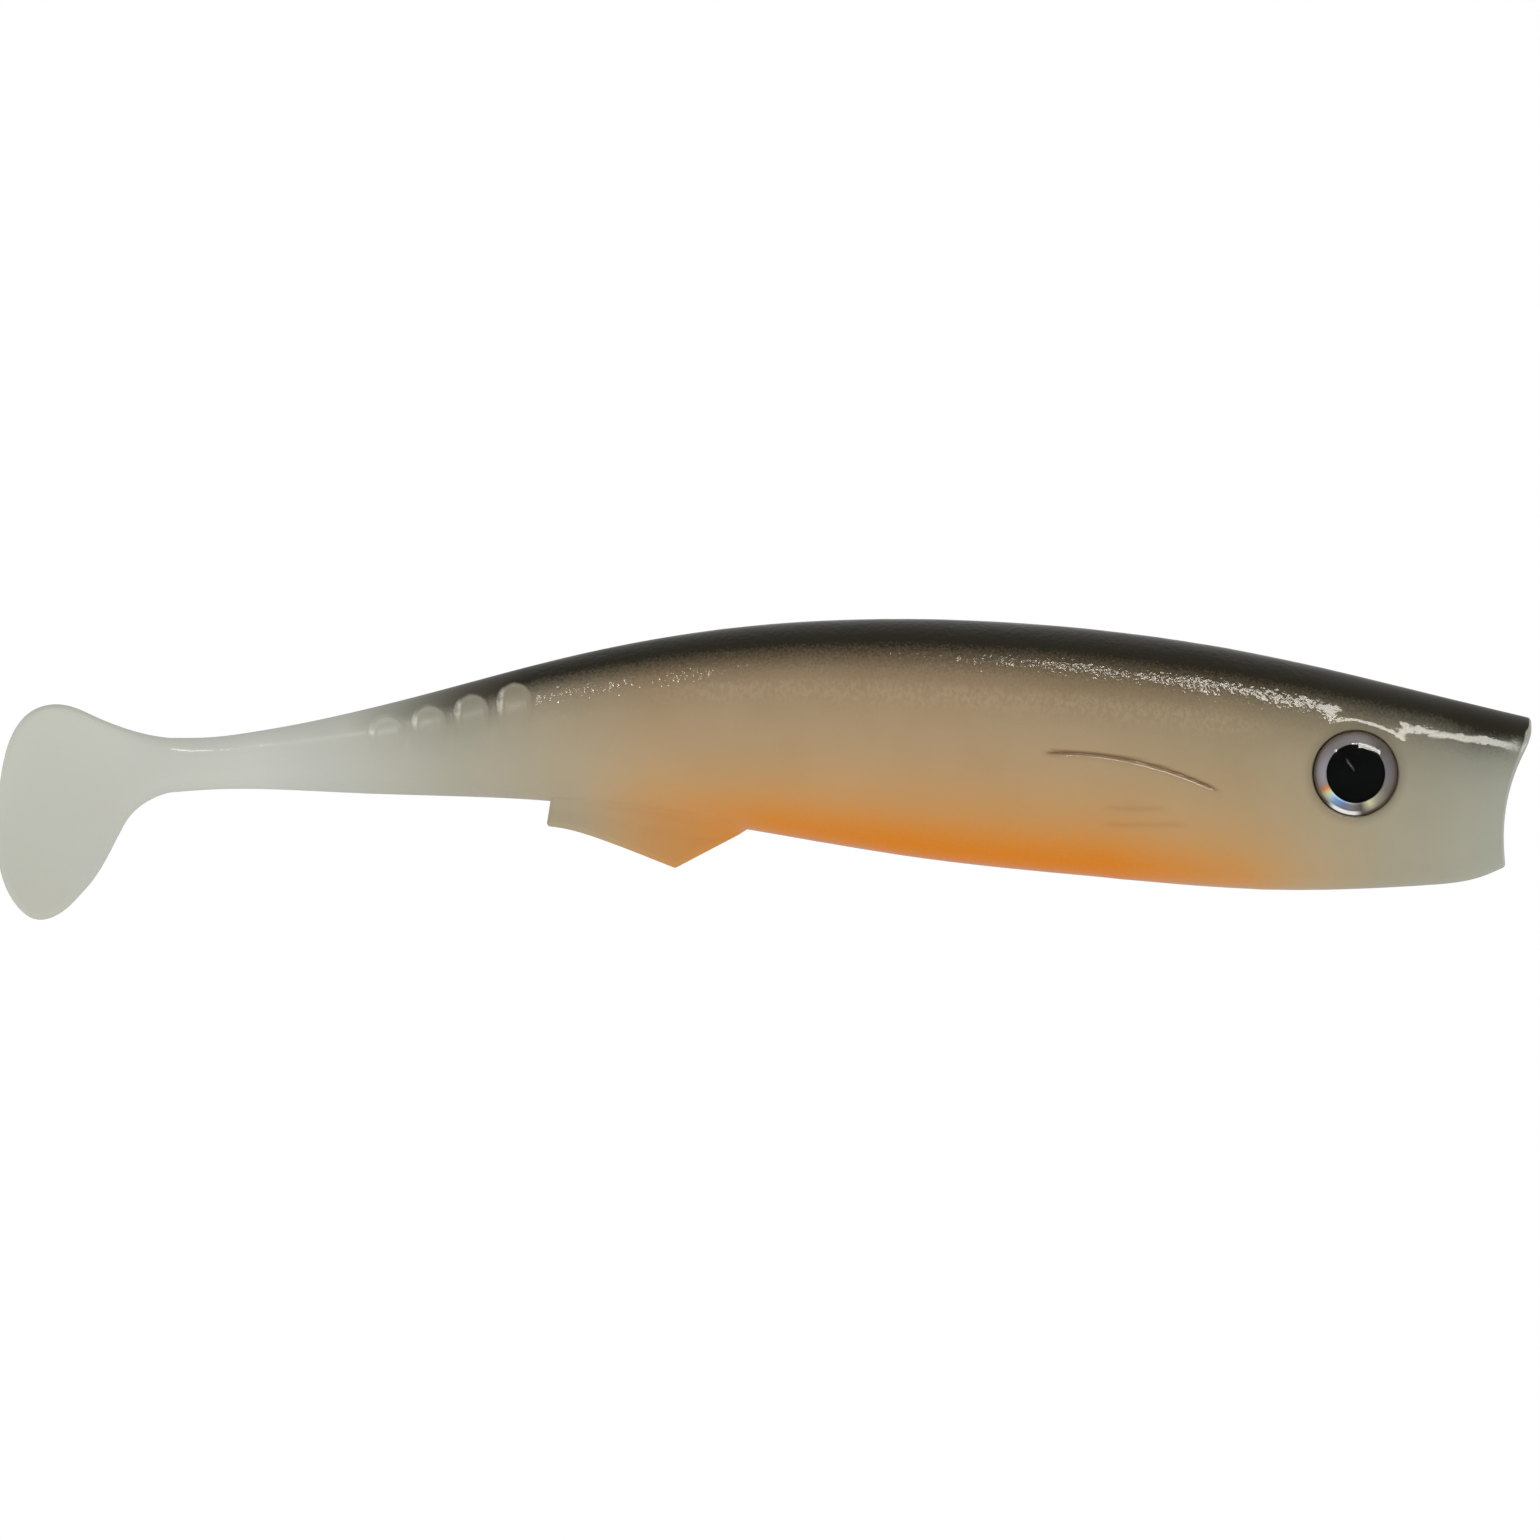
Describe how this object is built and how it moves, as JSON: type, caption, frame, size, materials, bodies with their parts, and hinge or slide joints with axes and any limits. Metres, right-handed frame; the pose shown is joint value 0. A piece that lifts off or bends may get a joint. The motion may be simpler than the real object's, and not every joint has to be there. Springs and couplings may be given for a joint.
{
  "type": "swimbait",
  "caption": "Soft paddle-tail fishing lure with a dished nose for a jig head, domed stick-on eyes, fluted tail root, thin wrist and flat kicking tail.",
  "frame": {"origin": "deepest point of the nose dish, where the hook channel starts", "axes": "+X forwards in the direction of swimming, +Y to the lure's left side, +Z towards its back"},
  "size_m": [0.18, 0.0174, 0.0353],
  "materials": {
    "soft_body": "wet-looking soft plastic with an airbrushed dark back and orange belly",
    "eye_pad": "foam adhesive pad",
    "eye_foil": "holographic silver foil",
    "eye_pupil": "black print",
    "eye_lens": "clear cast resin, polished"
  },
  "bodies": {
    "trunk": {"trunk": "soft_body", "flute_web_1": "soft_body", "anal_fin_web": "soft_body", "left_eye_pad": "eye_pad", "left_iris_foil": "eye_foil", "left_pupil": "eye_pupil", "left_eye_lens": "eye_lens", "right_eye_pad": "eye_pad", "right_iris_foil": "eye_foil", "right_pupil": "eye_pupil", "right_eye_lens": "eye_lens"},
    "rib_1": {"tail_rib_1": "soft_body", "flute_web_2": "soft_body"},
    "rib_2": {"tail_rib_2": "soft_body", "flute_web_3": "soft_body"},
    "rib_3": {"tail_rib_3": "soft_body", "flute_web_4": "soft_body"},
    "stem_front": {"stem_front": "soft_body", "stem_web": "soft_body"},
    "stem_rear": {"stem_rear": "soft_body", "wrist_web": "soft_body"},
    "paddle": {"tail_paddle": "soft_body"},
    "fin": {"anal_fin": "soft_body"}
  },
  "joints": [
    {"name": "flute_flex_1", "type": "hinge", "parent": "trunk", "child": "rib_1", "pos_m": [-0.115, 0, 0], "axis": [0, 0, 1], "range_deg": [-10, 10], "stiffness_Nm_per_rad": 0.023, "deforming": ["flute_web_1"]},
    {"name": "flute_flex_2", "type": "hinge", "parent": "rib_1", "child": "rib_2", "pos_m": [-0.12, 0, 0], "axis": [0, 0, 1], "range_deg": [-10, 10], "stiffness_Nm_per_rad": 0.015, "deforming": ["flute_web_2"]},
    {"name": "flute_flex_3", "type": "hinge", "parent": "rib_2", "child": "rib_3", "pos_m": [-0.125, 0, 0], "axis": [0, 0, 1], "range_deg": [-10, 10], "stiffness_Nm_per_rad": 0.0094, "deforming": ["flute_web_3"]},
    {"name": "flute_flex_4", "type": "hinge", "parent": "rib_3", "child": "stem_front", "pos_m": [-0.13, 0, 0], "axis": [0, 0, 1], "range_deg": [-10, 10], "stiffness_Nm_per_rad": 0.006, "deforming": ["flute_web_4"]},
    {"name": "stem_flex", "type": "hinge", "parent": "stem_front", "child": "stem_rear", "pos_m": [-0.141, 0, 0], "axis": [0, 0, 1], "range_deg": [-15, 15], "stiffness_Nm_per_rad": 0.0018, "deforming": ["stem_web"]},
    {"name": "tail_kick", "type": "hinge", "parent": "stem_rear", "child": "paddle", "pos_m": [-0.1525, 0, 0], "axis": [0, 0, 1], "range_deg": [-30, 30], "stiffness_Nm_per_rad": 0.0012, "deforming": ["wrist_web"]},
    {"name": "fin_sway", "type": "hinge", "parent": "trunk", "child": "fin", "pos_m": [-0.09955, 0, -0.00302], "axis": [0.9907, 0, -0.1363], "range_deg": [-25, 25], "stiffness_Nm_per_rad": 0.0005, "deforming": ["anal_fin_web"]}
  ]
}
